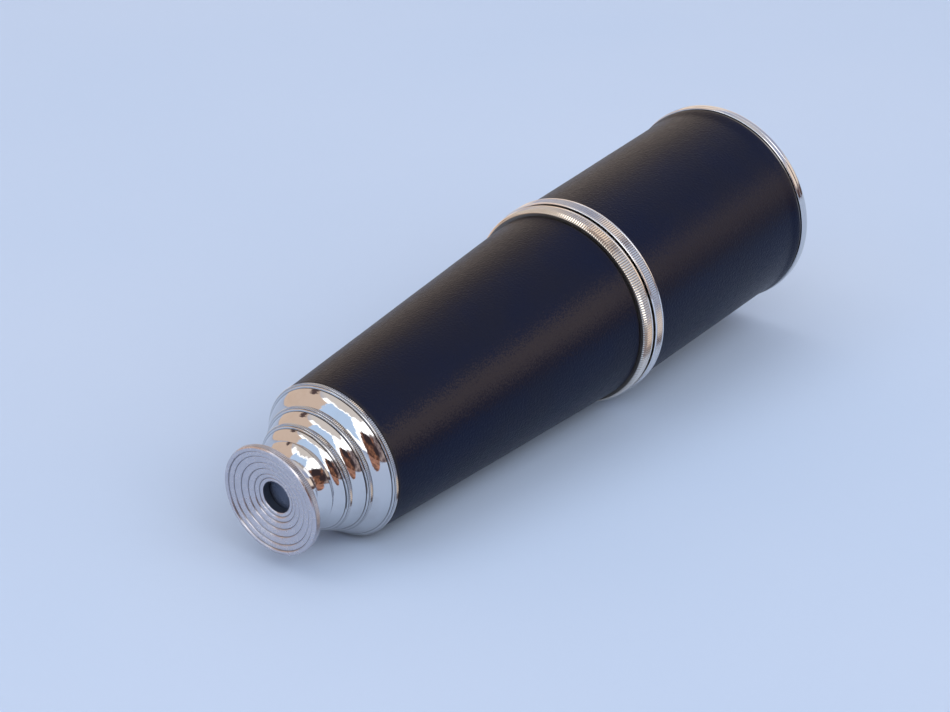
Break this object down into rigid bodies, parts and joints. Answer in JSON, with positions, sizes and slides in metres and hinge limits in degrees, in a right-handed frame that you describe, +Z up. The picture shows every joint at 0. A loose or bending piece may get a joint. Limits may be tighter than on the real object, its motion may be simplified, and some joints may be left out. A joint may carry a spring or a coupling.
{
  "type": "hand telescope",
  "caption": "Draw telescope with a leather-covered tapered barrel, sliding sunshade, three nested polished draw tubes with domed end caps, and a flared eyecup.",
  "frame": {"origin": "middle of the closed telescope's box, on the surface that it lies on", "axes": "+X towards the objective with the optical axis tipped 4.62 degrees up, +Y across, +Z up"},
  "size_m": [0.222, 0.0648, 0.0707],
  "materials": {
    "chrome": "polished plating over brass, with fine knurling on the rims",
    "satin_chrome": "turned satin plating with concentric rings",
    "brass": "plain turned brass, tarnished",
    "blackened": "matt black inside the optics",
    "leather": "fine-grained black leather with a soft sheen",
    "glass": "polished lens glass"
  },
  "bodies": {
    "barrel": {"barrel_tube": "brass", "barrel_leather": "leather", "barrel_end_cap": "chrome", "barrel_guide_sleeve": "brass", "barrel_mid_ring": "chrome", "nose_tube": "chrome", "objective_cell": "blackened", "objective_flint_lens": "glass", "objective_crown_lens": "glass", "objective_retainer": "blackened"},
    "shade": {"shade_tube": "brass", "shade_leather": "leather", "shade_rear_ring": "chrome", "shade_front_bezel": "chrome", "shade_guide_collar": "brass"},
    "draw3": {"draw3_tube": "chrome", "draw3_end_cap": "chrome", "draw3_guide_sleeve": "brass", "draw3_stop_ring": "brass"},
    "draw2": {"draw2_tube": "chrome", "draw2_end_cap": "chrome", "draw2_guide_sleeve": "brass", "draw2_stop_ring": "brass"},
    "draw1": {"draw1_tube": "chrome", "draw1_stop_ring": "brass", "eyepiece_housing": "chrome", "eyecup": "satin_chrome", "eyepiece_lens_tube": "blackened", "eye_lens": "glass", "eye_lens_spacer": "blackened", "field_stop": "blackened", "field_lens_spacer": "blackened", "field_lens": "glass", "field_lens_retainer": "blackened", "erector_cell": "blackened", "erector_rear_retainer": "blackened", "erector_rear_lens": "glass", "erector_front_lens": "glass", "erector_front_retainer": "blackened", "erector_stop": "blackened"}
  },
  "joints": [
    {"name": "shade_slide", "type": "slide", "parent": "barrel", "child": "shade", "axis": [0.9967, 0, 0.0806], "range_m": [0, 0.06]},
    {"name": "draw3_slide", "type": "slide", "parent": "barrel", "child": "draw3", "axis": [-0.9967, 0, -0.0806], "range_m": [0, 0.134]},
    {"name": "draw2_slide", "type": "slide", "parent": "draw3", "child": "draw2", "axis": [-0.9967, 0, -0.0806], "range_m": [0, 0.141]},
    {"name": "draw1_slide", "type": "slide", "parent": "draw2", "child": "draw1", "axis": [-0.9967, 0, -0.0806], "range_m": [0, 0.146]}
  ]
}
